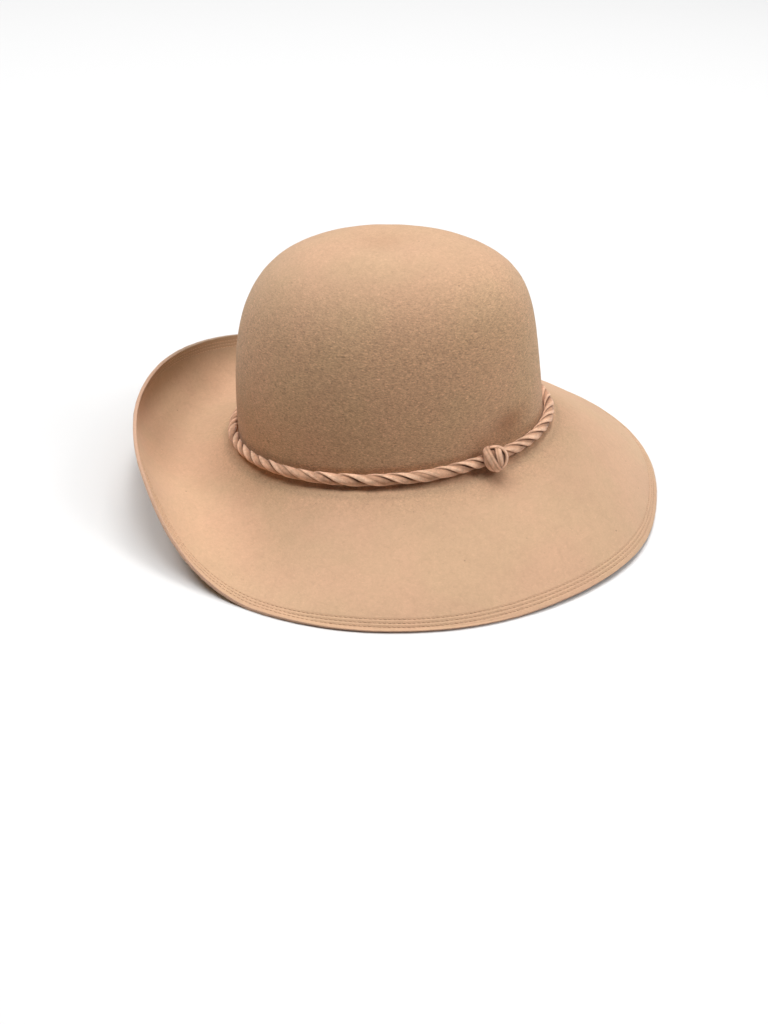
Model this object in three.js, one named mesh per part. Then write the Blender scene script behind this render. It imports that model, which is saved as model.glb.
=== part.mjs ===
// Wide-brim felt hat: one blocked felt body, and a twisted band knotted round the foot of its crown.
// Millimetres, +Z up. The front of the hat faces -Y and the wearer's left is +X. The hat lies on its
// brim at z = 0, leaning back a little, and the origin is under the middle of its bounding box.
import * as THREE from 'three';
import { mergeVertices } from 'three/addons/utils/BufferGeometryUtils.js';

// Driving dimensions
const head_length = 194.2;
const head_width = 168.2;
const felt_wall = 2.2;
const crown_height = 120.6;
const brim_width = 98;
const break_setback = 2.4;
const lean_back_deg = 8.6;
const rest_flattening = 1.6;
const band_thick = 7.7;
const band_thin = 6.4;
const band_twist_pitch = 28;
const band_clearance = 0.35;
const knot_length = 15;
const knot_thick = 16;
const knot_turn_deg = -41;
const knot_clearance = 0.3;

// Crown: how each side swells out above the band and draws in towards the top. Swell and taper are
// shares of the half width, top_power flattens the top and shoulder_power tightens the shoulder.
const crown_sides = {
  front: { swell: 0.008, taper: 0.0655, top_power: 7.0, shoulder_power: 1.82 },
  left: { swell: -0.015, taper: 0.078, top_power: 4.1, shoulder_power: 2.4 },
  back: { swell: 0.01, taper: 0.122, top_power: 3.8, shoulder_power: 2.93 },
  right: { swell: -0.015, taper: 0.085, top_power: 3.7, shoulder_power: 2.3 },
};
const swell_height_share = 0.09;
// The tight knot draws the crown's foot in, most at its own turn and less with height.
const knot_draw = 2;
const knot_draw_turn_deg = 15;
const knot_draw_height_share = 0.16;
// The top sits a little forward of the base and slopes down to the front, in shares of the half
// length and of the height.
const top_shift_forward = 0.03;
const top_shift_left = 0.01;
const top_slope_forward = 0.019;
// Shallow dimple in the top, in shares of the head length and the crown height
const dimple_radius_share = 0.2;
const dimple_depth_share = 0.034;
const dimple_forward_share = 0.07;

// Brim, a row every 45 degrees from the front round by the wearer's left: width as a share of
// brim_width, slope in degrees at the crown and at the edge, and how late the curl comes.
const brim_rows = [
  { width: 0.977, root: -28, edge: -55, curl_power: 0.9 },
  { width: 1.006, root: -31, edge: -39, curl_power: 1.7 },
  { width: 1.031, root: -23, edge: -22, curl_power: 2.6 },
  { width: 0.982, root: -37, edge: 76, curl_power: 1.68 },
  { width: 0.942, root: -23.7, edge: 128, curl_power: 1.77 },
  { width: 0.948, root: -42.5, edge: 78, curl_power: 1.11 },
  { width: 1.031, root: -22, edge: -24, curl_power: 2.6 },
  { width: 1.006, root: -32, edge: -38, curl_power: 1.75 },
];

// Mesh fineness
const round_steps = 80;
const crown_steps = 11;
const crown_bunching = 1.9;
const bend_steps = 2;
const brim_shares = [0.09, 0.19, 0.3, 0.41, 0.52, 0.63, 0.74, 0.84, 0.92, 0.965, 1];
const slope_steps = 40;
const band_sides = 8;
const steps_per_twist = 8;
const knot_sides = 18;
const knot_rings = 12;
const knot_wraps = 3;
const knot_wrap_relief = 0.05;

const half_length = head_length / 2 + felt_wall;
const half_width = head_width / 2 + felt_wall;
const full_turn = 2 * Math.PI;
const small_turn = 0.001;
const knot_turn = THREE.MathUtils.degToRad(knot_turn_deg);
const knot_draw_turn = THREE.MathUtils.degToRad(knot_draw_turn_deg);

// A point in the hat's own frame: forward, left and up from the middle of the crown's base.
function hat_point(forward, left, up) {
  return { forward, left, up };
}

function outward(turn) {
  const forward = Math.cos(turn) / half_length;
  const left = Math.sin(turn) / half_width;
  const size = Math.hypot(forward, left);
  return { forward: forward / size, left: left / size };
}

// Smooth value round the hat through a table's rows, which are evenly spaced.
function round_value(rows, column, turn) {
  const place = (((turn / full_turn) % 1) + 1) % 1 * rows.length;
  const first = Math.floor(place);
  const part = place - first;
  const at = (step) => rows[(first + step + rows.length) % rows.length][column];
  const [before, start, end, after] = [at(-1), at(0), at(1), at(2)];
  const lead = (end - before) / 2;
  const trail = (after - start) / 2;
  const square = part * part;
  const cube = square * part;
  return start * (2 * cube - 3 * square + 1) + lead * (cube - 2 * square + part)
    + end * (3 * square - 2 * cube) + trail * (cube - square);
}

// Share of the base's half width that the crown still has at a share of its height.
function crown_reach(side, height_share) {
  const closing = Math.max(0, 1 - height_share ** side.top_power) ** (1 / side.shoulder_power);
  const swell = side.swell * (1 - Math.exp(-height_share / swell_height_share));
  return (1 + swell - side.taper * height_share) * closing;
}

// How far the knot draws the felt in at a turn and a share of the crown's height
function drawn_by_knot(turn, height_share) {
  const away = THREE.MathUtils.euclideanModulo(turn - knot_turn + Math.PI, full_turn) - Math.PI;
  const near = Math.exp(-((away / knot_draw_turn) ** 2));
  return knot_draw * near * Math.exp(-((height_share / knot_draw_height_share) ** 2));
}

// Line where the crown meets the brim
function base_point(turn) {
  const away = outward(turn);
  const drawn = drawn_by_knot(turn, 0);
  const forward = half_length * Math.cos(turn) - away.forward * drawn;
  const left = half_width * Math.sin(turn) - away.left * drawn;
  return hat_point(forward, left, 0);
}

function crown_point(turn, height_share) {
  const lengthwise = Math.cos(turn) ** 2;
  const end = Math.cos(turn) > 0 ? crown_sides.front : crown_sides.back;
  const side = Math.sin(turn) > 0 ? crown_sides.left : crown_sides.right;
  const reach = crown_reach(end, height_share) * lengthwise + crown_reach(side, height_share) * (1 - lengthwise);
  const forward_share = Math.cos(turn) * reach + top_shift_forward * height_share;
  const left_share = Math.sin(turn) * reach + top_shift_left * height_share;
  const slope = 1 - top_slope_forward * forward_share;
  const away = outward(turn);
  const drawn = drawn_by_knot(turn, height_share);
  const forward = half_length * forward_share - away.forward * drawn;
  const left = half_width * left_share - away.left * drawn;
  const dimple_radius = head_length * dimple_radius_share;
  const from_dimple = Math.hypot(forward - head_length * dimple_forward_share, left) / dimple_radius;
  const hollow = from_dimple < 1 ? (1 + Math.cos(Math.PI * from_dimple)) / 2 : 0;
  const up = crown_height * (height_share * slope - dimple_depth_share * hollow);
  return hat_point(forward, left, up);
}

// Brim surface at a share of its width, found by walking out from the crown along the slope.
function brim_point(turn, width_share) {
  const width = brim_width * round_value(brim_rows, 'width', turn);
  const root = THREE.MathUtils.degToRad(round_value(brim_rows, 'root', turn));
  const edge = THREE.MathUtils.degToRad(round_value(brim_rows, 'edge', turn));
  const curl_power = round_value(brim_rows, 'curl_power', turn);
  const steps = Math.max(1, Math.ceil(width_share * slope_steps));
  let out = 0;
  let up = 0;
  for (let step = 0; step < steps; step += 1) {
    const share = ((step + 0.5) / steps) * width_share;
    const slope = root + (edge - root) * share ** curl_power;
    out += (width * width_share * Math.cos(slope)) / steps;
    up += (width * width_share * Math.sin(slope)) / steps;
  }
  const away = outward(turn);
  const base = base_point(turn);
  return hat_point(base.forward + away.forward * out, base.left + away.left * out, up);
}

function between(a, b, part) {
  return hat_point(
    a.forward + (b.forward - a.forward) * part,
    a.left + (b.left - a.left) * part,
    a.up + (b.up - a.up) * part,
  );
}

// The outer felt surface at one turn, from just off the crown's tip down to the brim's edge.
function felt_profile(turn) {
  const profile = [];
  const foot_share = break_setback / crown_height;
  for (let step = 1; step <= crown_steps; step += 1) {
    const down = step / crown_steps;
    const height_share = 1 - (1 - foot_share) * down ** crown_bunching;
    profile.push(crown_point(turn, height_share));
  }
  const crown_foot = profile[profile.length - 1];
  const corner = brim_point(turn, 0);
  const brim_root = brim_point(turn, break_setback / brim_width);
  for (let step = 1; step <= bend_steps; step += 1) {
    const part = step / (bend_steps + 1);
    profile.push(between(between(crown_foot, corner, part), between(corner, brim_root, part), part));
  }
  profile.push(brim_root);
  brim_shares.forEach((share) => profile.push(brim_point(turn, share)));
  return profile;
}

const lean = THREE.MathUtils.degToRad(lean_back_deg);
const hat_up = leaned(hat_point(0, 0, 1));

// From the hat's own frame to the way it lies, before it is let down to the floor
function leaned(point) {
  const forward = point.forward * Math.cos(lean) - point.up * Math.sin(lean);
  const up = point.forward * Math.sin(lean) + point.up * Math.cos(lean);
  return new THREE.Vector3(point.left, -forward, up);
}

// Inner surface: each outer point moved in by the felt's wall along the surface normal.
function wall_side(grid, tip) {
  const rings = grid[0].length;
  return grid.map((profile, column) => profile.map((point, ring) => {
    const next = grid[(column + 1) % grid.length][ring];
    const last = grid[(column + grid.length - 1) % grid.length][ring];
    const above = ring > 0 ? profile[ring - 1] : tip;
    const below = ring < rings - 1 ? profile[ring + 1] : point;
    const round = new THREE.Vector3().subVectors(next, last);
    const down = new THREE.Vector3().subVectors(below, above);
    const inward = new THREE.Vector3().crossVectors(round, down).normalize();
    return new THREE.Vector3().copy(point).addScaledVector(inward, felt_wall);
  }));
}

function closed_geometry(points, faces) {
  const geometry = new THREE.BufferGeometry();
  const numbers = points.flatMap((point) => [point.x, point.y, point.z]);
  geometry.setAttribute('position', new THREE.Float32BufferAttribute(numbers, 3));
  geometry.setIndex(faces);
  return geometry;
}

// Felt body: outer skin, cut edge and inner skin as one closed surface, laid on the floor. Where the
// brim would sink below the floor, both skins are lifted together and the felt keeps its wall.
function felt_body() {
  const outer = [];
  for (let column = 0; column < round_steps; column += 1) {
    outer.push(felt_profile((column / round_steps) * full_turn).map(leaned));
  }
  const tip = leaned(crown_point(0, 1));
  const inner = wall_side(outer, tip);
  const inner_tip = tip.clone().addScaledVector(hat_up, -felt_wall);
  const everything = [tip, ...outer.flat(), inner_tip, ...inner.flat()];
  const box = new THREE.Box3().setFromPoints(everything);
  const middle = box.getCenter(new THREE.Vector3());
  const offset = new THREE.Vector3(-middle.x, -middle.y, -box.min.z - rest_flattening);
  everything.forEach((point) => point.add(offset));
  outer.forEach((profile, column) => profile.forEach((point, ring) => {
    const under = inner[column][ring];
    const lift = Math.max(0, -point.z, -under.z);
    point.z += lift;
    under.z += lift;
  }));

  const rings = outer[0].length;
  const skin = 1 + round_steps * rings;
  const at = (layer, column, ring) => layer * skin + 1 + (column % round_steps) * rings + ring;
  const faces = [];
  for (let column = 0; column < round_steps; column += 1) {
    faces.push(0, at(0, column, 0), at(0, column + 1, 0));
    faces.push(skin, at(1, column + 1, 0), at(1, column, 0));
    for (let ring = 0; ring < rings - 1; ring += 1) {
      const [a, b] = [at(0, column, ring), at(0, column + 1, ring)];
      faces.push(a, a + 1, b + 1, a, b + 1, b);
      const [c, d] = [at(1, column, ring), at(1, column + 1, ring)];
      faces.push(c, d + 1, c + 1, c, d, d + 1);
    }
    const [top, top_next] = [at(0, column, rings - 1), at(0, column + 1, rings - 1)];
    const [under, under_next] = [at(1, column, rings - 1), at(1, column + 1, rings - 1)];
    faces.push(top, under, under_next, top, under_next, top_next);
  }
  return { geometry: closed_geometry(everything, faces), offset };
}

// Middle of a round piece that sits in the crease, as far from the crown's side as from the brim.
function crease_point(turn, seat) {
  const away = outward(turn);
  const base = base_point(turn);
  const above = crown_point(turn, (2 * break_setback) / crown_height);
  const drawn_in = (above.forward - base.forward) * away.forward + (above.left - base.left) * away.left;
  const side_lean = Math.atan2(-drawn_in, above.up - base.up);
  const further = brim_point(turn, band_thick / brim_width);
  const run = (further.forward - base.forward) * away.forward + (further.left - base.left) * away.left;
  const brim_slope = Math.atan2(further.up - base.up, run);
  const reach = seat / Math.cos(brim_slope - side_lean);
  const out = reach * (Math.cos(brim_slope) - Math.sin(side_lean));
  const up = (seat + out * Math.sin(brim_slope)) / Math.cos(brim_slope);
  return hat_point(base.forward + away.forward * out, base.left + away.left * out, base.up + up);
}

function placed(point, offset) {
  return leaned(point).add(offset);
}

// Frame of the crease at a turn: along the band, outward from the crown, and up the crown.
function crease_axes(turn, seat, offset) {
  const middle = placed(crease_point(turn, seat), offset);
  const ahead = placed(crease_point(turn + small_turn, seat), offset);
  const along = ahead.sub(middle).normalize();
  const up = hat_up.clone();
  const out = new THREE.Vector3().crossVectors(along, up).normalize();
  up.crossVectors(out, along).normalize();
  return { middle, along, out, up };
}

// Band: an oval section twisted as it goes round the crown, from one side of the knot to the other.
function twisted_band(offset) {
  const seat = band_thick / 2 + band_clearance;
  const around = Math.PI * (half_length + half_width + 2 * seat);
  const gap_turn = ((knot_length / 2 + knot_clearance) / around) * full_turn;
  const twists = around / band_twist_pitch;
  const steps = Math.round(twists * steps_per_twist);
  const points = [];
  for (let step = 0; step <= steps; step += 1) {
    const turn = knot_turn + gap_turn + (step / steps) * (full_turn - 2 * gap_turn);
    const { middle, out, up } = crease_axes(turn, seat, offset);
    const twist = -(step / steps) * twists * full_turn;
    for (let side = 0; side < band_sides; side += 1) {
      const angle = (side / band_sides) * full_turn;
      const wide = (band_thick / 2) * Math.cos(angle);
      const narrow = (band_thin / 2) * Math.sin(angle);
      const outward_part = wide * Math.cos(twist) - narrow * Math.sin(twist);
      const up_part = wide * Math.sin(twist) + narrow * Math.cos(twist);
      points.push(middle.clone().addScaledVector(out, outward_part).addScaledVector(up, up_part));
    }
  }
  const faces = [];
  for (let step = 0; step < steps; step += 1) {
    for (let side = 0; side < band_sides; side += 1) {
      const a = step * band_sides + side;
      const b = step * band_sides + ((side + 1) % band_sides);
      faces.push(a, b + band_sides, b, a, a + band_sides, b + band_sides);
    }
  }
  const last = steps * band_sides;
  for (let side = 1; side < band_sides - 1; side += 1) {
    faces.push(0, side, side + 1);
    faces.push(last, last + side + 1, last + side);
  }
  return closed_geometry(points, faces);
}

// Knot: a rounded lump whose surface rises in slanting wraps.
function wrapped_knot() {
  const ball = new THREE.SphereGeometry(1, knot_sides, knot_rings);
  ball.deleteAttribute('normal');
  ball.deleteAttribute('uv');
  const geometry = mergeVertices(ball);
  const position = geometry.getAttribute('position');
  const point = new THREE.Vector3();
  for (let index = 0; index < position.count; index += 1) {
    point.fromBufferAttribute(position, index);
    const wrap = Math.cos(knot_wraps * (Math.atan2(point.z, point.x) + point.y));
    const relief = 1 - knot_wrap_relief * (1 - wrap) * (1 - point.y * point.y);
    position.setXYZ(
      index,
      (point.x * relief * knot_length) / 2,
      (point.y * relief * knot_thick) / 2,
      (point.z * relief * knot_thick) / 2,
    );
  }
  return geometry;
}

const felt_colour = new THREE.MeshStandardMaterial({ color: 0xc9a17c, roughness: 0.95, metalness: 0 });
const band_colour = new THREE.MeshStandardMaterial({ color: 0xb98a68, roughness: 0.85, metalness: 0 });

const hat = new THREE.Group();

const felt = felt_body();
const body = new THREE.Mesh(felt.geometry, felt_colour);
body.name = 'felt_body';
hat.add(body);

const band = new THREE.Mesh(twisted_band(felt.offset), band_colour);
band.name = 'twisted_band';
hat.add(band);

const knot = new THREE.Mesh(wrapped_knot(), band_colour);
knot.name = 'band_knot';
const knot_axes = crease_axes(knot_turn, knot_thick / 2 + knot_clearance, felt.offset);
knot.position.copy(knot_axes.middle);
knot.setRotationFromMatrix(new THREE.Matrix4().makeBasis(knot_axes.along, knot_axes.up, knot_axes.out));
hat.add(knot);

export default hat;
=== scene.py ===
# Wide-brim felt hat with a twisted band: the fine surfaces, materials, light and camera.
# Lengths are in millimetres until a mesh is made, and the hat's sizes repeat the construction's.
import math

import bpy
import numpy as np
from mathutils import Matrix, Vector


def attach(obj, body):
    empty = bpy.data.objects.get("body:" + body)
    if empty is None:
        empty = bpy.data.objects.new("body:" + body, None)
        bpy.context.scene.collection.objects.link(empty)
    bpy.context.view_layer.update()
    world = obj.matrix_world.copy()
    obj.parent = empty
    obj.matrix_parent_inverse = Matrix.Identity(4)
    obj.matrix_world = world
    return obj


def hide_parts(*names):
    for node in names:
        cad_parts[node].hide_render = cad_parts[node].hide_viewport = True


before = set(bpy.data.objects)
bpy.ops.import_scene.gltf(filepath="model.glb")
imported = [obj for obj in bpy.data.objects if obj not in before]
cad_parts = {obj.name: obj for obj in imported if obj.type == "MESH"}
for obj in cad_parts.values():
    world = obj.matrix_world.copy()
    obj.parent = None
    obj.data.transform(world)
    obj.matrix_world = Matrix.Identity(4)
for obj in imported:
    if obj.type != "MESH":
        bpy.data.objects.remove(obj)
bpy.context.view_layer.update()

MM = 0.001
FULL_TURN = 2 * math.pi

# Sizes of the hat
HEAD_LENGTH = 194.2
HEAD_WIDTH = 168.2
FELT_WALL = 2.2
CROWN_HEIGHT = 120.6
BRIM_WIDTH = 98.0
BREAK_SETBACK = 2.4
LEAN_BACK = math.radians(8.6)
REST_FLATTENING = 1.6
BAND_THICK = 7.7
BAND_CLEARANCE = 0.35
KNOT_LENGTH = 15.0
KNOT_THICK = 16.0
KNOT_TURN = math.radians(-41)
KNOT_CLEARANCE = 0.3
HALF_LENGTH = HEAD_LENGTH / 2 + FELT_WALL
HALF_WIDTH = HEAD_WIDTH / 2 + FELT_WALL

# Crown sides: how far the side swells out above the band, taper over the height, and powers that
# shape the top and the shoulder
CROWN_SIDES = {
    "front": {"swell": 0.008, "taper": 0.0655, "top_power": 7.0, "shoulder_power": 1.82},
    "left": {"swell": -0.015, "taper": 0.078, "top_power": 4.1, "shoulder_power": 2.4},
    "back": {"swell": 0.01, "taper": 0.122, "top_power": 3.8, "shoulder_power": 2.93},
    "right": {"swell": -0.015, "taper": 0.085, "top_power": 3.7, "shoulder_power": 2.3},
}
SWELL_HEIGHT_SHARE = 0.09
# The tight knot draws the crown's foot in
KNOT_DRAW = 2.0
KNOT_DRAW_TURN = math.radians(15)
KNOT_DRAW_HEIGHT_SHARE = 0.16
TOP_SHIFT_FORWARD = 0.03
TOP_SHIFT_LEFT = 0.01
TOP_SLOPE_FORWARD = 0.019
DIMPLE_RADIUS_SHARE = 0.2
DIMPLE_DEPTH_SHARE = 0.034
DIMPLE_FORWARD_SHARE = 0.07
# Soft dent in the crown's side, above the band and beside the knot
DENT_TURN = math.radians(-28)
DENT_HEIGHT = 16.0
DENT_DEPTH = 2.9
DENT_WIDTH = 15.0
DENT_TALLNESS = 9.0

# Brim rows, every 45 degrees from the front round by the wearer's left: the width as a share, and the
# slopes at the root and at the edge in degrees
BRIM_ROWS = [
    {"width": 0.977, "root": -28, "edge": -55, "curl_power": 0.9},
    {"width": 1.006, "root": -31, "edge": -39, "curl_power": 1.7},
    {"width": 1.031, "root": -23, "edge": -22, "curl_power": 2.6},
    {"width": 0.982, "root": -37, "edge": 76, "curl_power": 1.68},
    {"width": 0.942, "root": -23.7, "edge": 128, "curl_power": 1.77},
    {"width": 0.948, "root": -42.5, "edge": 78, "curl_power": 1.11},
    {"width": 1.031, "root": -22, "edge": -24, "curl_power": 2.6},
    {"width": 1.006, "root": -32, "edge": -38, "curl_power": 1.75},
]

# Stitching rows, as distances from the brim's edge
STITCH_ROWS = [2.9, 5.2, 7.5]
STITCH_PITCH = 2.7
STITCH_LENGTH = 2.2
THREAD_WIDTH = 0.5
GROOVE_DEPTH = 0.3
GROOVE_WIDTH = 0.55
THREAD_SIDES = 6
THREAD_HEIGHT_SHARE = 0.84
STITCH_LOWEST = 0.05
# Uneven spacing as a share of the pitch, and slant as a share of the length
STITCH_UNEVENNESS = 0.05
STITCH_SLANT = 0.08
# One stitch, as shares: places along its length, how far it rises there, and its thickness
STITCH_PROFILE = [
    (-0.5, -0.35, 0.45),
    (-0.36, 0.55, 0.9),
    (0.0, 0.85, 1.0),
    (0.36, 0.55, 0.9),
    (0.5, -0.35, 0.45),
]

# Mesh fineness
COLUMNS = 340
CROWN_RINGS = 48
CROWN_BUNCHING = 1.7
BEND_RINGS = 4
BRIM_RINGS = 44
EDGE_ZONE = 9.5
EDGE_RINGS = 26
EDGE_ROUNDING = 0.5
EDGE_CORNER_STEPS = 3

# Felt's unevenness, and the roughness of its cut edge
WIDE_WAVES = {"height": 0.22, "seed": 3, "wavelengths": (45, 110), "count": 9}
FINE_WAVES = {"height": 0.05, "seed": 5, "wavelengths": (9, 18), "count": 12}
CUT_WAVES = {"height": 0.07, "seed": 11, "wavelengths": (2.5, 6), "count": 10}

# Roughness of the nap, from 0 to 1, which also sets painted shade, darker and redder where it is high:
# from the crown's top to its foot, kept between a least and a most, then at a few rings out along the
# brim, on the cut edge, at the two tips, and underneath as a share
CROWN_NAP = (-0.2, 1.7)
CROWN_NAP_LIMITS = (0.22, 0.88)
BRIM_NAP_RINGS = (0, BEND_RINGS, 18)
BRIM_NAP = (0.8, 0.5, 0.13)
CUT_NAP = 0.3
TIP_NAP = (0.22, 0.15)
UNDER_NAP_SHARE = 0.5

# Where the rolled back of the brim is darker with painted shade: the middle of it on the felt and on the
# cut edge, and half its width, in degrees of turn, and its reach in from the edge
ROLL_SHADE_TURN = 158.0
ROLL_SHADE_CUT_TURN = 142.0
ROLL_SHADE_WIDTH = 26.0
ROLL_SHADE_REACH = 22.0
ROLL_SHADE_CUT_STRENGTH = 2.0
# How strongly, and how wide, the brim is darker beside the band as painted shadow, and how strongly the
# crown is darker in its dimple as painted shade
BAND_SHADOW_STRENGTH = 0.4
BAND_SHADOW_WIDTH = 2.6
DIMPLE_SHADE_STRENGTH = 0.25
DIMPLE_SHADE_SHARE = 0.7
TIP_DENT_SHADE = (0.2, 0)

# Colours, linear
FELT_COLOUR = (0.594, 0.373, 0.228)
BAND_COLOUR = (0.71, 0.405, 0.255)
# The crease colour is painted shade and the ridge colour a painted highlight, partly the strip's own colour
CREASE_COLOUR = (0.17, 0.068, 0.03)
RIDGE_COLOUR = (0.97, 0.63, 0.43)
# Shade of the strip, from a crease's 0 to a ridge's 1, at which it has its plain colour
FLAT_SHADE = 0.6
FLOOR_COLOUR = (0.78, 0.78, 0.78)

# Tints, as shares of red, green and blue; the last is how much paler the cut edge is
NO_TINT = (1, 1, 1)
PINK_TINT = (1.02, 0.99, 0.985)
OLIVE_TINT = (0.985, 1.0, 0.97)
# Painted light and shade by the nap: lighter and cooler where it is smooth, darker and redder where it is
# rough
SMOOTH_NAP_PAINTED_LIGHT = (1.03, 1.05, 1.11)
ROUGH_NAP_PAINTED_SHADE = (0.92, 0.89, 0.84)
# Painted shade in the dent beside the knot and in the crown's dimple
DENT_AND_DIMPLE_SHADE_TINT = (0.76, 0.65, 0.58)
# Painted shade near the rolled back's edge, and painted shadow beside the band
ROLL_AND_BAND_SHADE_TINT = (0.58, 0.64, 0.63)
CUT_SHARES = (1.14, 1.12, 1.24)

# Finishes: plain values of the shader's inputs
FELT_FINISH = {
    "Roughness": 0.93,
    "Specular IOR Level": 0.18,
    "Sheen Weight": 0.22,
    "Sheen Roughness": 0.55,
    "Sheen Tint": (1.0, 0.92, 0.78, 1),
}
CUT_FINISH = {"Roughness": 0.95, "Specular IOR Level": 0.15, "Sheen Weight": 0.3}
THREAD_FINISH = {"Roughness": 0.7, "Sheen Weight": 0.2}
BAND_FINISH = {
    "Roughness": 0.82,
    "Specular IOR Level": 0.25,
    "Sheen Weight": 0.25,
    "Sheen Roughness": 0.5,
}
FLOOR_FINISH = {"Roughness": 0.9}


def smooth_between(before, start, end, after, part):
    """Goes smoothly from start to end, heeding the value before and the one after."""
    lead = (end - before) / 2
    trail = (after - start) / 2
    square = part**2
    cube = part**3
    return (
        start * (2 * cube - 3 * square + 1)
        + lead * (cube - 2 * square + part)
        + end * (3 * square - 2 * cube)
        + trail * (cube - square)
    )


def round_value(column, turn):
    """Smooth value round the hat through the brim's evenly spaced rows."""
    values = np.array([row[column] for row in BRIM_ROWS], dtype=float)
    place = (turn / FULL_TURN) % 1 * len(values)
    first = np.floor(place).astype(int)
    nearby = [values[(first + step) % len(values)] for step in (-1, 0, 1, 2)]
    return smooth_between(*nearby, place - first)


def crown_reach(side, height_share):
    closing = np.maximum(0, 1 - height_share ** side["top_power"]) ** (1 / side["shoulder_power"])
    swell = side["swell"] * (1 - np.exp(-height_share / SWELL_HEIGHT_SHARE))
    return (1 + swell - side["taper"] * height_share) * closing


def knot_draw(turn, height_share):
    """How far, in millimetres, the knot draws the felt in at a turn and a share of the crown's height."""
    away = (turn - KNOT_TURN + math.pi) % FULL_TURN - math.pi
    fading = np.exp(-((height_share / KNOT_DRAW_HEIGHT_SHARE) ** 2))
    return KNOT_DRAW * np.exp(-((away / KNOT_DRAW_TURN) ** 2)) * fading


def base_points(turn):
    """Forward and left of the line where the crown meets the brim."""
    away_forward, away_left = outward(turn)
    drawn = knot_draw(turn, 0)
    forward = HALF_LENGTH * np.cos(turn) - away_forward * drawn
    left = HALF_WIDTH * np.sin(turn) - away_left * drawn
    return forward, left


def crown_points(turn, height_share):
    """Forward, left and up of the crown's outer skin at turns and shares of its height."""
    lengthwise = np.cos(turn) ** 2
    sides = CROWN_SIDES
    end = np.where(
        np.cos(turn) > 0,
        crown_reach(sides["front"], height_share),
        crown_reach(sides["back"], height_share),
    )
    side = np.where(
        np.sin(turn) > 0,
        crown_reach(sides["left"], height_share),
        crown_reach(sides["right"], height_share),
    )
    reach = end * lengthwise + side * (1 - lengthwise)
    forward_share = np.cos(turn) * reach + TOP_SHIFT_FORWARD * height_share
    left_share = np.sin(turn) * reach + TOP_SHIFT_LEFT * height_share
    slope = 1 - TOP_SLOPE_FORWARD * forward_share
    away_forward, away_left = outward(turn)
    drawn = knot_draw(turn, height_share)
    forward = HALF_LENGTH * forward_share - away_forward * drawn
    left = HALF_WIDTH * left_share - away_left * drawn
    from_dimple = np.hypot(forward - HEAD_LENGTH * DIMPLE_FORWARD_SHARE, left)
    from_dimple = np.minimum(from_dimple / (HEAD_LENGTH * DIMPLE_RADIUS_SHARE), 1)
    hollow = (1 + np.cos(math.pi * from_dimple)) / 2
    up = CROWN_HEIGHT * (height_share * slope - DIMPLE_DEPTH_SHARE * hollow)
    return np.stack([forward, left, up], axis=-1)


def outward(turn):
    forward = np.cos(turn) / HALF_LENGTH
    left = np.sin(turn) / HALF_WIDTH
    size = np.hypot(forward, left)
    return forward / size, left / size


def brim_points(turn, shares):
    """Brim's upper skin: turn is a column, and shares a row of growing width shares for each turn."""
    width = BRIM_WIDTH * round_value("width", turn)
    root = np.radians(round_value("root", turn))
    edge = np.radians(round_value("edge", turn))
    curl_power = round_value("curl_power", turn)
    fine = np.linspace(0, 1, 401)
    middle = (fine[1:] + fine[:-1]) / 2
    slope = root[:, None] + (edge - root)[:, None] * middle ** curl_power[:, None]
    walked = np.zeros((len(turn), len(fine), 2))
    walked[:, 1:, 0] = np.cumsum(np.cos(slope), axis=1)
    walked[:, 1:, 1] = np.cumsum(np.sin(slope), axis=1)
    walked *= width[:, None, None] / (len(fine) - 1)
    out = np.stack([np.interp(shares[i], fine, walked[i, :, 0]) for i in range(len(turn))])
    up = np.stack([np.interp(shares[i], fine, walked[i, :, 1]) for i in range(len(turn))])
    away_forward, away_left = outward(turn)
    base_forward, base_left = base_points(turn)
    forward = base_forward[:, None] + away_forward[:, None] * out
    left = base_left[:, None] + away_left[:, None] * out
    return np.stack([forward, left, up], axis=-1)


def leaned(points):
    """From forward, left and up of the hat to the way it lies, before it is let down."""
    forward, left, up = points[..., 0], points[..., 1], points[..., 2]
    back = -(forward * math.cos(LEAN_BACK) - up * math.sin(LEAN_BACK))
    height = forward * math.sin(LEAN_BACK) + up * math.cos(LEAN_BACK)
    return np.stack([left, back, height], axis=-1)


def unit(vectors):
    return vectors / np.maximum(np.linalg.norm(vectors, axis=-1, keepdims=True), 1e-12)


def grid_normals(grid):
    """Normals of a grid of columns and rings, pointing out of the crown and up from the brim."""
    across = np.roll(grid, -1, axis=0) - np.roll(grid, 1, axis=0)
    down = np.gradient(grid, axis=1)
    return unit(np.cross(down, across))


def gentle_waves(points, height, seed, wavelengths, count):
    """Smooth uneven field in space, mostly between minus and plus its height."""
    random = np.random.default_rng(seed)
    field = np.zeros(points.shape[:-1])
    for _ in range(count):
        direction = unit(random.normal(size=3))
        wavelength = random.uniform(*wavelengths)
        phase = random.uniform(0, FULL_TURN)
        field += np.sin(points @ direction * FULL_TURN / wavelength + phase)
    return height * (field / math.sqrt(count))


def mesh_object(name, vertices, faces, materials, face_materials=None):
    mesh = bpy.data.meshes.new(name)
    mesh.from_pydata((np.asarray(vertices) * MM).tolist(), [], faces)
    for material in materials:
        mesh.materials.append(material)
    if face_materials is not None:
        mesh.polygons.foreach_set("material_index", face_materials)
    mesh.polygons.foreach_set("use_smooth", [True] * len(mesh.polygons))
    mesh.update()
    piece = bpy.data.objects.new(name, mesh)
    bpy.context.scene.collection.objects.link(piece)
    return piece


def add_strength_layer(piece, name, values):
    """Keeps one number for each vertex, for the material to read."""
    layer = piece.data.attributes.new(name, "FLOAT", "POINT")
    layer.data.foreach_set("value", np.asarray(values, dtype=np.float32).ravel())


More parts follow.
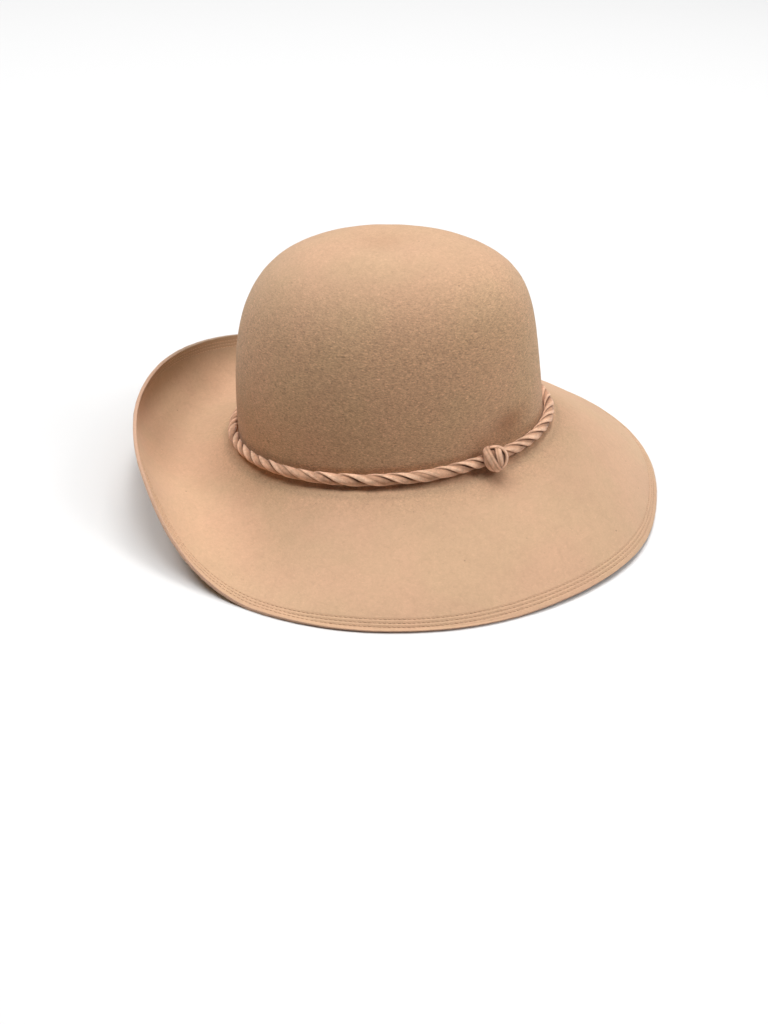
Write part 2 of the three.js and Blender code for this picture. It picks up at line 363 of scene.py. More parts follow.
def tube_faces(steps, sides, closed=False, turned=False):
    """Faces between the rings of a tube, pointing out of it, or out once turned over.

    A closed tube runs on from its last ring to its first.
    """
    faces = []
    for step in range(steps if closed else steps - 1):
        here = step * sides
        after = (step + 1) % steps * sides
        for side in range(sides):
            beside = (side + 1) % sides
            if turned:
                faces.append((here + side, here + beside, after + beside, after + side))
            else:
                faces.append((here + side, after + side, after + beside, here + beside))
    return faces


def shifted(faces, first):
    """The same faces for a part whose vertices are numbered from first on."""
    return [tuple(first + corner for corner in face) for face in faces]


# Felt body

TURNS = np.arange(COLUMNS) / COLUMNS * FULL_TURN


def edge_distances():
    """Distances from the brim's edge at which the stitched zone has its rings, outermost last."""
    return np.linspace(EDGE_ZONE, 0, EDGE_RINGS)


def crown_shares():
    """Shares of the crown's height at its rings, from its top down to its foot."""
    down = np.arange(1, CROWN_RINGS + 1) / CROWN_RINGS
    foot_share = BREAK_SETBACK / CROWN_HEIGHT
    return 1 - (1 - foot_share) * down**CROWN_BUNCHING


def felt_top_grid():
    """Upper skin in columns and rings: down the crown, round the bend and out along the brim."""
    crown = crown_points(TURNS[:, None], crown_shares()[None, :])
    width = BRIM_WIDTH * round_value("width", TURNS)
    start = BREAK_SETBACK / BRIM_WIDTH
    inner_end = 1 - EDGE_ZONE / width
    steps = np.linspace(0, 1, BRIM_RINGS, endpoint=False)
    inner_shares = start + (inner_end - start)[:, None] * steps[None, :]
    edge_shares = 1 - edge_distances()[None, :] / width[:, None]
    brim = brim_points(TURNS, np.concatenate([inner_shares, edge_shares], axis=1))
    corner = brim_points(TURNS, np.zeros((COLUMNS, 1)))[:, 0]
    bend = []
    for step in range(1, BEND_RINGS + 1):
        part = step / (BEND_RINGS + 1)
        near = crown[:, -1] * (1 - part) + corner * part
        far = corner * (1 - part) + brim[:, 0] * part
        bend.append(near * (1 - part) + far * part)
    return leaned(np.concatenate([crown, np.stack(bend, axis=1), brim], axis=1))


def side_dent(rings):
    """Depth of the dent beside the knot, over the upper skin's rings."""
    above = (CROWN_HEIGHT * crown_shares() - DENT_HEIGHT) / DENT_TALLNESS
    across = (TURNS - DENT_TURN + math.pi) % FULL_TURN - math.pi
    across = across * (HALF_LENGTH + HALF_WIDTH) / 2 / DENT_WIDTH
    depth = np.zeros((COLUMNS, rings))
    depth[:, :CROWN_RINGS] = DENT_DEPTH * np.exp(-(across[:, None] ** 2) - above[None] ** 2)
    return depth


def felt_skins():
    """Upper and lower skin grids, their normals, the tip points and the let-down offset."""
    top = felt_top_grid()
    normals = grid_normals(top)
    tip = leaned(crown_points(np.array([0.0]), np.array([1.0])))[0]
    lying = np.concatenate([top, top - normals * FELT_WALL], axis=1)
    low = lying.reshape(-1, 3).min(axis=0)
    high = lying.reshape(-1, 3).max(axis=0)
    offset = np.array([-(low[0] + high[0]) / 2, -(low[1] + high[1]) / 2, -low[2] - REST_FLATTENING])
    uneven = gentle_waves(top, **WIDE_WAVES) + gentle_waves(top, **FINE_WAVES)
    uneven = uneven - side_dent(top.shape[1])
    top = top + normals * uneven[..., None] + offset
    lower = top - normals * FELT_WALL
    lift = np.maximum(0, -lower[..., 2])
    top[..., 2] += lift
    lower[..., 2] += lift
    hat_up = leaned(np.array([0.0, 0.0, 1.0]))
    tip = tip + offset + hat_up * uneven[:, 0].mean()
    return top, lower, normals, tip, tip - hat_up * FELT_WALL, offset


TOP_SKIN, LOWER_SKIN, TOP_NORMALS, TOP_TIP, LOWER_TIP, OFFSET = felt_skins()


def painted_shade(turn, from_edge):
    """How far the brim is darkened as painted shade, at distances from its edge, all round."""
    across = (np.degrees(TURNS) - turn) / ROLL_SHADE_WIDTH
    return np.exp(-(across[:, None] ** 2) - (from_edge / ROLL_SHADE_REACH)[None] ** 2)


def groove_depths():
    distances = edge_distances()
    depth = np.zeros(TOP_SKIN.shape[1])
    for row in STITCH_ROWS:
        depth[-EDGE_RINGS:] += GROOVE_DEPTH * np.exp(-(((distances - row) / GROOVE_WIDTH) ** 2))
    return depth


def cut_edge_rings(top_edge, lower_edge, normals, ring_before):
    """Rings of the cut edge, its two corners a little rounded."""
    away = unit(top_edge - ring_before)
    rough = gentle_waves(top_edge, **CUT_WAVES)[:, None]
    steps = range(1, EDGE_CORNER_STEPS + 1)
    corners = [(top_edge, -normals, step) for step in steps]
    corners += [(lower_edge, normals, step) for step in reversed(steps)]
    rings = []
    for edge, into_felt, step in corners:
        angle = step / (EDGE_CORNER_STEPS + 1) * math.pi / 2
        out = EDGE_ROUNDING * math.sin(angle)
        inset = EDGE_ROUNDING * (1 - math.cos(angle))
        ring = edge + away * (out + rough) + into_felt * inset
        rings.append(ring * [1, 1, 0] + np.maximum(ring, 0) * [0, 0, 1])
    return np.stack(rings, axis=1)


def felt_faces(count, edge_start, edge_end):
    """Faces of the closed felt over its columns of count rings, and which of them are cut edge."""
    top_tip, lower_tip = COLUMNS * count, COLUMNS * count + 1
    faces = []
    face_materials = []
    for column in range(COLUMNS):
        here = column * count
        beside = (column + 1) % COLUMNS * count
        faces.append((top_tip, here, beside))
        faces.append((lower_tip, beside + count - 1, here + count - 1))
        face_materials += [0, 0]
        for ring in range(count - 1):
            faces.append((here + ring, here + ring + 1, beside + ring + 1, beside + ring))
            face_materials.append(1 if edge_start < ring < edge_end else 0)
    return faces, face_materials


def nap_and_shade_layer(skin_rings, edge_rings):
    """Roughness of the nap, which also sets painted shade: most down the crown's side and beside the band,
    less underneath.
    """
    crown = np.clip(np.linspace(*CROWN_NAP, CROWN_RINGS), *CROWN_NAP_LIMITS)
    brim = np.interp(np.arange(skin_rings - CROWN_RINGS), BRIM_NAP_RINGS, BRIM_NAP)
    skin = np.concatenate([crown, brim])
    rings = np.concatenate([skin, np.full(edge_rings, CUT_NAP), skin[::-1] * UNDER_NAP_SHARE])
    return np.concatenate([np.tile(rings, COLUMNS), TIP_NAP])


def painted_shade_layer(skin_rings, edge_rings):
    """How much darker the brim is, as painted shade near the edge of its rolled back and painted shadow
    beside the band.
    """
    from_edge = np.full(skin_rings, BRIM_WIDTH)
    steps = np.linspace(0, 1, BRIM_RINGS, endpoint=False)
    from_edge[-EDGE_RINGS - BRIM_RINGS : -EDGE_RINGS] = BRIM_WIDTH - steps * (BRIM_WIDTH - EDGE_ZONE)
    from_edge[-EDGE_RINGS:] = edge_distances()
    # Painted shadow of the band on the brim beside it
    from_band = BRIM_WIDTH - from_edge - BAND_THICK - BAND_SHADOW_WIDTH / 2
    on_brim = from_edge < BRIM_WIDTH
    band_shadow = BAND_SHADOW_STRENGTH * np.exp(-((from_band / BAND_SHADOW_WIDTH) ** 2)) * on_brim
    darker = np.zeros((COLUMNS, skin_rings + edge_rings + skin_rings))
    # Painted shade near the edge of the rolled back, with the band's painted shadow
    darker[:, :skin_rings] = painted_shade(ROLL_SHADE_TURN, from_edge) + band_shadow
    # Painted shade on the cut edge of the rolled back
    on_cut = painted_shade(ROLL_SHADE_CUT_TURN, np.zeros(edge_rings))
    darker[:, skin_rings:-skin_rings] = ROLL_SHADE_CUT_STRENGTH * on_cut
    return np.concatenate([np.minimum(darker, 1).ravel(), [0, 0]])


def dent_shade_layer(skin, edge_rings):
    """How much darker the crown is, as painted shade, in the dent beside the knot and in the dimple of its
    top.
    """
    skin_rings = skin.shape[1]
    from_dimple = skin[..., :2] - skin[:, :1, :2].mean(axis=0)
    from_dimple = from_dimple - np.array([0, -DIMPLE_FORWARD_SHARE * HALF_LENGTH])
    reach = np.linalg.norm(from_dimple, axis=-1) / (DIMPLE_RADIUS_SHARE * HALF_LENGTH)
    on_crown = np.arange(skin_rings) < CROWN_RINGS
    dent = np.zeros((COLUMNS, skin_rings + edge_rings + skin_rings))
    dent[:, :skin_rings] = side_dent(skin_rings) / DENT_DEPTH
    # Painted shade in the dimple of the crown's top
    dimple = DIMPLE_SHADE_STRENGTH * np.exp(-((reach / DIMPLE_SHADE_SHARE) ** 2))
    dent[:, :skin_rings] += dimple * on_crown
    return np.concatenate([dent.ravel(), TIP_DENT_SHADE])


def make_felt(felt, cut_felt):
    grooves = groove_depths()[None, :, None]
    top = TOP_SKIN - TOP_NORMALS * grooves
    lower = LOWER_SKIN + TOP_NORMALS * grooves
    edge = cut_edge_rings(top[:, -1], lower[:, -1], TOP_NORMALS[:, -1], top[:, -2])
    rings = np.concatenate([top, edge, lower[:, ::-1]], axis=1)
    vertices = np.concatenate([rings.reshape(-1, 3), [TOP_TIP], [LOWER_TIP]])
    skin_rings, edge_rings = top.shape[1], edge.shape[1]
    faces, face_materials = felt_faces(rings.shape[1], skin_rings - 1, skin_rings - 1 + edge_rings)
    piece = mesh_object("felt_hat_body", vertices, faces, [felt, cut_felt], face_materials)
    # The nap layer also carries painted light and shade; the next two layers hold painted shade
    add_strength_layer(piece, "nap", nap_and_shade_layer(skin_rings, edge_rings))
    add_strength_layer(piece, "painted_shade", painted_shade_layer(skin_rings, edge_rings))
    add_strength_layer(piece, "dent", dent_shade_layer(top, edge_rings))
    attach(piece, "root")
    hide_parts("felt_body")
    return piece


# Stitching

def ring_path(grid, ring):
    """Closed path along one ring, and its length so far at each point."""
    points = np.concatenate([grid[:, ring], grid[:1, ring]])
    lengths = np.concatenate([[0], np.cumsum(np.linalg.norm(np.diff(points, axis=0), axis=1))])
    return points, lengths


def along_path(points, lengths, places):
    places = places % lengths[-1]
    return np.stack([np.interp(places, lengths, points[:, axis]) for axis in range(3)], axis=-1)


def stitch_points(centre, way, normal, sway):
    """Points round one stitch, a short thread that dips into the felt at its ends."""
    across = np.cross(normal, way)
    points = []
    for place, rise, girth in STITCH_PROFILE:
        spot = centre + way * place * STITCH_LENGTH + across * place * sway * STITCH_LENGTH
        spot = spot + normal * rise * THREAD_WIDTH / 2
        for corner in range(THREAD_SIDES):
            angle = corner / THREAD_SIDES * FULL_TURN
            wide = across * math.cos(angle) * THREAD_WIDTH / 2 * girth
            high = normal * math.sin(angle) * THREAD_WIDTH / 2 * THREAD_HEIGHT_SHARE * girth
            points.append(spot + wide + high)
    return points


def make_stitches(name, skin, side, thread):
    """Machine stitches in rows along the edge: side is 1 on the upper skin and -1 on the lower one."""
    normal_grid = TOP_NORMALS * side
    sunk = skin - normal_grid * groove_depths()[None, :, None]
    stitch_faces = tube_faces(len(STITCH_PROFILE), THREAD_SIDES, turned=True)
    random = np.random.default_rng(21)
    vertices = []
    faces = []
    for row in STITCH_ROWS:
        ring = skin.shape[1] - EDGE_RINGS + int(np.argmin(np.abs(edge_distances() - row)))
        points, lengths = ring_path(sunk, ring)
        normal_points = np.concatenate([normal_grid[:, ring], normal_grid[:1, ring]])
        count = round(lengths[-1] / STITCH_PITCH)
        for index in range(count):
            uneven = random.uniform(-STITCH_UNEVENNESS, STITCH_UNEVENNESS)
            middle = (index + uneven) * lengths[-1] / count
            start, centre, end = along_path(points, lengths, middle + np.array([-1, 0, 1]))
            normal = unit(along_path(normal_points, lengths, np.array([middle]))[0])
            sway = random.uniform(-STITCH_SLANT, STITCH_SLANT)
            faces += shifted(stitch_faces, len(vertices))
            vertices += stitch_points(centre, unit(end - start), normal, sway)
    vertices = np.array(vertices)
    vertices[:, 2] = np.maximum(vertices[:, 2], STITCH_LOWEST)
    piece = mesh_object(name, vertices, faces, [thread])
    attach(piece, "root")
    return piece


# Band and knot

def crease_middle(turn, seat):
    """Middle of a round piece as far from the crown's side as from the brim, at each turn."""
    base = brim_points(turn, np.zeros((len(turn), 1)))[:, 0]
    above = crown_points(turn, np.full(len(turn), 2 * BREAK_SETBACK / CROWN_HEIGHT))
    away_forward, away_left = outward(turn)
    rise = above - base
    drawn_in = rise[:, 0] * away_forward + rise[:, 1] * away_left
    side_lean = np.arctan2(-drawn_in, rise[:, 2])
    further = brim_points(turn, np.full((len(turn), 1), BAND_THICK / BRIM_WIDTH))[:, 0] - base
    run = further[:, 0] * away_forward + further[:, 1] * away_left
    brim_slope = np.arctan2(further[:, 2], run)
    out = seat / np.cos(brim_slope - side_lean) * (np.cos(brim_slope) - np.sin(side_lean))
    up = (seat + out * np.sin(brim_slope)) / np.cos(brim_slope)
    middle = base + np.stack([away_forward * out, away_left * out, up], axis=-1)
    return leaned(middle) + OFFSET


def crease_axes(turn, seat):
    small_turn = 0.001
    middle = crease_middle(turn, seat)
    along = unit(crease_middle(turn + small_turn, seat) - middle)
    hat_up = np.broadcast_to(leaned(np.array([0.0, 0.0, 1.0])), along.shape)
    out = unit(np.cross(along, hat_up))
    return middle, along, out, np.cross(out, along)


# Places where a fold of the strip crosses the middle of its outer face, in degrees of turn from the
# front round by the wearer's left, each with how crisp the fold is
FOLDS_BEFORE_THE_FRONT = [(-34, 0.5), (-28, 0.75), (-22.8, 1.0), (-16, 0.9), (-8.5, 0.8), (-1.5, 0.7)]
FOLDS_AT_THE_RIGHT = [
    (210, 1.0),
    (216, 0.9),
    (221.5, 1.0),
    (227.5, 0.9),
    (233.2, 0.6),
    (239.8, 1.0),
    (247, 0.35),
    (254.5, 0.45),
    (262.4, 0.9),
    (271.9, 1.0),
    (282.6, 0.75),
    (288.6, 0.95),
    (295.5, 0.35),
    (303, 0.65),
    (309, 0.95),
    (314, 0.7),
]
# Folds under the knot, and the hidden side's usual step from fold to fold in degrees and crispness
FOLDS_UNDER_THE_KNOT = [(-69, -62, -55, -48, -41), (319, 326, 333, 340, 347)]
CRISPNESS_UNDER_THE_KNOT = 0.6
HIDDEN_FOLD_STEP = 6.9
HIDDEN_CRISPNESS = 0.7
LAST_HIDDEN_GAP = 10
FOLD_FACE = math.radians(40)
# Thickness of the rolled strip every 30 degrees of turn, as a share of the most, and how far in
# millimetres it lies out from its usual seat there and up the crown's side
STRIP_GIRTHS = [0.9, 0.84, 0.86, 0.9, 0.88, 0.84, 0.81, 0.82, 0.92, 1.0, 1.0, 0.98]
STRIP_SHIFTS_OUT = [0.3, 0, 0, 0, 0, 0, 0, 0, 0, 0, 0, 0.6]
STRIP_SHIFTS_UP = [0, 0, 0, 0, 0, 0.3, 0.7, 1.1, 1.1, 0.1, 0, -0.1]
FOLDS_A_TURN = 3
LOBE_SIDES = 26
LOBE_BUNCHING = 0.115
PLEAT_DEPTH = 0.09
SECOND_PLEAT_DEPTH = 0.04
# How far the strip's ends run into the knot, and how far it sinks into its crease where it is thin, as
# a share of what it lacks
END_IN_KNOT = 3.0
SUNK_SHARE = 0.7
BAND_STEPS = 900


def table_value(table, turn):
    """Straight-line value round the hat through an evenly spaced table."""
    place = (turn / FULL_TURN) % 1 * len(table)
    first = np.floor(place).astype(int)
    part = place - first
    values = np.array(table, dtype=float)
    return values[first % len(table)] * (1 - part) + values[(first + 1) % len(table)] * part


def fold_places():
    """Turns in degrees, rising from the knot round to it again, and how crisp each fold is."""
    before, after = [
        [(turn, CRISPNESS_UNDER_THE_KNOT) for turn in turns] for turns in FOLDS_UNDER_THE_KNOT
    ]
    places = before + FOLDS_BEFORE_THE_FRONT
    turn = places[-1][0]
    index = 0
    while turn < FOLDS_AT_THE_RIGHT[0][0] - LAST_HIDDEN_GAP:
        turn += HIDDEN_FOLD_STEP + 1.7 * math.sin(1.7 * index) + 0.9 * math.sin(0.8 * index + 1)
        places.append((turn, HIDDEN_CRISPNESS + 0.28 * math.sin(2.3 * index)))
        index += 1
    return np.array(places + FOLDS_AT_THE_RIGHT + after)


def fold_angles(turn):
    """Angles round the section of the strip's folds, and their crispness, at each turn."""
    places = fold_places()
    degrees = np.degrees(turn)
    angles = []
    crispness = []
    for edge in range(FOLDS_A_TURN):
        mine = places[edge::FOLDS_A_TURN]
        count = np.arange(len(mine))
        nearby = [np.interp(degrees + step, mine[:, 0], count) for step in (-3, -1.5, 0, 1.5, 3)]
        crossings = np.mean(nearby, axis=0)
        angles.append(FOLD_FACE - FULL_TURN * crossings)
        crispness.append(np.interp(degrees, mine[:, 0], mine[:, 1]))
    return angles, crispness


def lobe_surface(part, length, crisp, next_crisp, which):
    """Radius share over one lobe, from its own raised edge to the next lobe's, and its shade."""
    next_depth = 0.05 + 0.25 * next_crisp
    rounding = 0.05 + (0.06 + 0.24 * crisp) * (1 - crisp)
    raised = rounding * np.exp(-part / (0.03 + 0.17 * (1 - crisp)))
    groove = (0.03 + 0.19 * next_crisp) * np.exp(-(1 - part) / (0.1 + 0.11 * (1 - next_crisp)))
    pleat_place = 0.46 + 0.14 * np.sin(length / 17 + 2.3 * which)
    pleat_depth = PLEAT_DEPTH * (0.5 + 0.5 * np.sin(length / 12.5 + 1.7 * which)) ** 1.5
    pleat = pleat_depth * np.exp(-np.abs(part - pleat_place) / 0.1)
    second_place = 0.24 + 0.07 * np.sin(length / 9 + which)
    second_depth = SECOND_PLEAT_DEPTH * (0.5 + 0.5 * np.sin(length / 7.3 + 4 * which))
    second = second_depth * np.exp(-np.abs(part - second_place) / 0.08)
    wrinkles = 0.016 * np.sin(part * 17 + length / 3.1 + which) * np.sin(length / 5.7 + 2 * which)
    reach = 1 - next_depth * part**1.5 - raised - groove - pleat - second + wrinkles
    # Painted shade in the creases, the pleats and towards the lobe's end, and a painted highlight on its
    # raised edge, partly the strip's own colour
    dark = (0.25 + 0.95 * next_crisp) * np.exp(-(1 - part) / 0.16)
    dark = dark + 0.5 * pleat / PLEAT_DEPTH + 0.35 * second / SECOND_PLEAT_DEPTH
    pale = 0.4 * (0.3 + 0.7 * crisp) * np.exp(-(((part - 0.22) / 0.22) ** 2))
    shade = 0.7 - 0.25 * part * next_crisp - 0.75 * dark + pale
    return np.minimum(reach, 1), shade


def strip_section(turn, length):
    """Angles round the twisted strip's section, radius shares and shades there, at each turn."""
    edges, crispness = fold_angles(turn)
    edges.append(edges[0] + FULL_TURN)
    crispness.append(crispness[0])
    even = np.arange(LOBE_SIDES) / LOBE_SIDES
    part = (even - LOBE_BUNCHING * np.sin(FULL_TURN * even))[None, :]
    angles = []
    reaches = []
    shades = []
    for which in range(FOLDS_A_TURN):
        start, end = edges[which], edges[which + 1]
        crisp, next_crisp = crispness[which][:, None], crispness[which + 1][:, None]
        angles.append(start[:, None] + part * (end - start)[:, None])
        reach, shade = lobe_surface(part, length[:, None], crisp, next_crisp, which)
        reaches.append(reach)
        shades.append(shade)
    return [np.concatenate(values, axis=1) for values in (angles, reaches, shades)]


def make_band(band):
    seat = BAND_THICK / 2 + BAND_CLEARANCE
    around = math.pi * (HALF_LENGTH + HALF_WIDTH + 2 * seat)
    gap_turn = (KNOT_LENGTH / 2 - END_IN_KNOT) / around * FULL_TURN
    share = np.linspace(0, 1, BAND_STEPS)
    turn = KNOT_TURN + gap_turn + share * (FULL_TURN - 2 * gap_turn)
    middle, _, out, up = crease_axes(turn, seat)
    length = share * around
    uneven = 0.02 * np.sin(length / 9.1 + 0.5) + 0.015 * np.sin(length / 4.3)
    girth = np.minimum(table_value(STRIP_GIRTHS, turn) + uneven, 1)
    angles, reaches, shades = strip_section(turn, length)
    radius = BAND_THICK / 2 * girth[:, None] * reaches
    points = middle[:, None] + out[:, None] * (radius * np.cos(angles))[..., None]
    points = points + up[:, None] * (radius * np.sin(angles))[..., None]
    sunk = BAND_THICK / 2 * (1 - girth) * SUNK_SHARE
    moved_out = (table_value(STRIP_SHIFTS_OUT, turn) - sunk)[:, None, None]
    moved_up = (table_value(STRIP_SHIFTS_UP, turn) - sunk)[:, None, None]
    points = points + moved_out * out[:, None] + moved_up * up[:, None]
    sides = FOLDS_A_TURN * LOBE_SIDES
    faces = tube_faces(BAND_STEPS, sides)
    faces.append(tuple(range(sides)))
    faces.append(tuple(range(BAND_STEPS * sides - 1, (BAND_STEPS - 1) * sides - 1, -1)))
    piece = mesh_object("twisted_strip", points.reshape(-1, 3), faces, [band])
    # The fold layer holds painted shade and highlight, partly the strip's own colour
    add_strength_layer(piece, "fold", shades)
    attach(piece, "root")
    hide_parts("twisted_band")
    return piece


# The knot is described as it faces the wearer's right and a little up. Each strip is a closed loop over
# its core, through points given across, up and near (1) or far (-1), in millimetres, with the height
# at which it passes over the core.
KNOT_FACE_TURN = math.radians(-77)
KNOT_FACE_RISE = math.radians(32)
KNOT_RADII = (6.3, 6.6, 6.2)
KNOT_SHIFT = (1.2, -0.9, 0)
STRIP_THICKNESS = 1.3
STRIP_DROOP = 0.55
STRIP_STEPS = 120
STRIP_SIDES = 32
CORE_RINGS = 24
CORE_SIDES = 32
# The core's shade is painted shade where it shows between the strips
CORE_SHADE = 0.2
# How much the core and the strips stand off their own surface
CORE_MARGIN = 0.1
KNOT_STRIPS = [
    {
        "width": 4.9,
        "line": 0.3,
        "points": [
            (-4.6, 4.8, 1, 1.8),
            (-3.4, 1.5, 1, 2.2),
            (-1.2, -2.3, 1, 2.3),
            (1.4, -5.4, 1, 1.7),
            (3.5, -4, -1, 0),
            (1, 2, -1, 0),
            (-2.6, 5.6, -1, 0.3),
        ],
    },
    {
        "width": 4.2,
        "line": -0.45,
        "points": [
            (1.1, 5.5, 1, 0.7),
            (1.6, 2.3, 1, 0.9),
            (2.6, -1.5, 1, 0.7),
            (3.8, -4.5, 1, 0.1),
            (1, -3, -1, 0),
            (-1, 3, -1, 0),
        ],
    },
    {
        "width": 4.0,
        "line": 0.35,
        "points": [
            (-1.9, 5.9, 1, 0.9),
            (2.6, 5.3, 1, 1.4),
            (5.3, 2.8, 1, 1.3),
            (5.9, -0.4, 1, 1.2),
            (4.9, -3.6, 1, 0.9),
            (2.4, -6.0, 1, 0.3),
            (-2, -4, -1, 0),
            (-4.6, 3, -1, 0),
        ],
    },
    {
        "width": 4.0,
        "line": -0.2,
        "points": [
            (-5.5, 0.2, 1, 0.3),
            (-4.3, -3.1, 1, 0.7),
            (-2.0, -5.8, 1, 0.7),
            (2, -5, -1, 0),
            (4, 1, -1, 0),
            (-3, 4, -1, 0),
        ],
    },
]


def knot_frame():
    """Middle of the knot, and the directions across, up and towards someone who faces it."""
    turn = np.array([KNOT_TURN])
    middle = crease_axes(turn, KNOT_THICK / 2 + KNOT_CLEARANCE)[0][0]
    level = math.cos(KNOT_FACE_RISE)
    near = np.array(
        [math.sin(KNOT_FACE_TURN) * level, -math.cos(KNOT_FACE_TURN) * level, math.sin(KNOT_FACE_RISE)]
    )
    across = unit(np.cross([0, 0, 1], near))
    up = np.cross(near, across)
    shift = KNOT_SHIFT[0] * across + KNOT_SHIFT[1] * up + KNOT_SHIFT[2] * near
    return middle + shift, np.stack([across, up, near])


def closed_curve(points, steps):
    """Evenly stepped smooth closed curve through points of any number of values."""
    points = np.asarray(points, dtype=float)
    place = np.arange(steps) / steps * len(points)
    first = np.floor(place).astype(int)
    nearby = [points[(first + step) % len(points)] for step in (-1, 0, 1, 2)]
    return smooth_between(*nearby, (place - first)[:, None])


def core_points(strip_points):
    """Puts across, up, near or far points on the core, keeping their heights."""
    radii = np.array(KNOT_RADII)
    placed = []
    for across, up, side, height in strip_points:
        flat = (across / radii[0]) ** 2 + (up / radii[1]) ** 2
        depth = side * radii[2] * math.sqrt(max(0.03, 1 - flat))
        placed.append((across, up, depth, height))
    return placed


def strip_loop(strip, section):
    """Surface points of one closed strip round the core, in the knot's own directions."""
    radii = np.array(KNOT_RADII)
    curve = closed_curve(core_points(strip["points"]), STRIP_STEPS)
    spots = curve[:, :3]
    spots = spots / np.linalg.norm(spots / radii, axis=1, keepdims=True)
    normal = unit(spots / radii**2)
    way = unit(np.roll(spots, -1, axis=0) - np.roll(spots, 1, axis=0))
    beside = unit(np.cross(normal, way))
    middle = spots + normal * (curve[:, 3:4] + CORE_MARGIN)
    side, rise = section[None, :, 0:1], section[None, :, 1:2]
    points = middle[:, None] + beside[:, None] * side * strip["width"] / 2
    return points + normal[:, None] * (rise * STRIP_THICKNESS / 2 - STRIP_DROOP * side**2)


def rounded_section(line):
    """Section of a flat strip: a rounded slab with a soft groove along a line of it."""
    angle = np.arange(STRIP_SIDES) / STRIP_SIDES * FULL_TURN
    side = np.sign(np.cos(angle)) * np.abs(np.cos(angle)) ** 0.6
    rise = np.sign(np.sin(angle)) * np.abs(np.sin(angle)) ** 0.7
    rise = rise * (1 - 0.55 * np.exp(-(((side - line) / 0.13) ** 2)))
    return np.stack([side, rise], axis=1)


def knot_strip(strip):
    """Points in the knot's own directions, faces and shades of one strip, with painted shade along its
    line, its edges and its side towards the core.
    """
    section = rounded_section(strip["line"])
    points = strip_loop(strip, section).reshape(-1, 3)
    lined = np.exp(-(((section[:, 0] - strip["line"]) / 0.12) ** 2))
    # Painted shade along the line, at the edges and on the side towards the core
    shade = 0.7 + 0.1 * section[:, 1] - 0.45 * lined - 0.5 * np.abs(section[:, 0]) ** 5
    faces = tube_faces(STRIP_STEPS, STRIP_SIDES, closed=True, turned=True)
    return points, faces, np.tile(shade, STRIP_STEPS)


def knot_core():
    """The same for the closed core, dark as painted shade between the strips, whose rings run from its
    right pole to its left one.
    """
    angle = np.arange(1, CORE_RINGS)[:, None] / CORE_RINGS * math.pi
    around = np.arange(CORE_SIDES)[None, :] / CORE_SIDES * FULL_TURN
    rings = [np.cos(angle) + 0 * around, np.sin(angle) * np.cos(around), np.sin(angle) * np.sin(around)]
    points = np.concatenate([np.stack(rings, axis=-1).reshape(-1, 3), [(1, 0, 0), (-1, 0, 0)]])
    right_pole, left_pole = len(points) - 2, len(points) - 1
    last = (CORE_RINGS - 2) * CORE_SIDES
    faces = tube_faces(CORE_RINGS - 1, CORE_SIDES)
    for side in range(CORE_SIDES):
        beside = (side + 1) % CORE_SIDES
        faces.append((right_pole, side, beside))
        faces.append((last + beside, last + side, left_pole))
    return points * (np.array(KNOT_RADII) + CORE_MARGIN), faces, np.full(len(points), CORE_SHADE)


def make_knot(band):
    middle, directions = knot_frame()
    vertices = np.zeros((0, 3))
    faces = []
    strength = np.zeros(0)
    for points, part_faces, shades in [*map(knot_strip, KNOT_STRIPS), knot_core()]:
        faces += shifted(part_faces, len(vertices))
        vertices = np.concatenate([vertices, middle + points @ directions])
        strength = np.concatenate([strength, shades])
    piece = mesh_object("knot_wraps", vertices, faces, [band])
    # The fold layer here holds painted shade of the strips and the core
    add_strength_layer(piece, "fold", strength)
    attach(piece, "root")
    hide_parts("band_knot")
    return piece


# Materials

def node_material(name, colour, finish):
    material = bpy.data.materials.new(name)
    material.use_nodes = True
    shader = material.node_tree.nodes["Principled BSDF"]
    shader.inputs["Base Color"].default_value = (*colour, 1)
    for socket, value in finish.items():
        shader.inputs[socket].default_value = value
    return material, material.node_tree, shader


def feed(tree, value, socket):
    """Links a node's output to a socket, or sets a plain number or colour there."""
    if isinstance(value, bpy.types.NodeSocket):
        tree.links.new(value, socket)
    elif isinstance(value, tuple):
        socket.default_value = (*value, 1)
    else:
        socket.default_value = value


def object_coordinates(tree, stretch=(1, 1, 1)):
    where = tree.nodes.new("ShaderNodeTexCoord")
    mapping = tree.nodes.new("ShaderNodeMapping")
    mapping.inputs["Scale"].default_value = stretch
    tree.links.new(where.outputs["Object"], mapping.inputs["Vector"])
    return mapping.outputs["Vector"]


def layer_strength(tree, name):
    """The number that a mesh keeps for each vertex under this name."""
    layer = tree.nodes.new("ShaderNodeAttribute")
    layer.attribute_name = name
    return layer.outputs["Fac"]


def noise(tree, vector, scale, detail, roughness=0.5, distortion=0.0):
    texture = tree.nodes.new("ShaderNodeTexNoise")
    settings = {"Scale": scale, "Detail": detail, "Roughness": roughness, "Distortion": distortion}
    for socket, value in settings.items():
        texture.inputs[socket].default_value = value
    tree.links.new(vector, texture.inputs["Vector"])
    return texture.outputs["Fac"]


def remapped(tree, value, low, high, to_low, to_high):
    """Goes from to_low to to_high as a value goes from low to high, and stays within them."""
    step = tree.nodes.new("ShaderNodeMapRange")
    tree.links.new(value, step.inputs["Value"])
    for socket, number in zip(("From Min", "From Max", "To Min", "To Max"), (low, high, to_low, to_high)):
        step.inputs[socket].default_value = number
    return step.outputs["Result"]


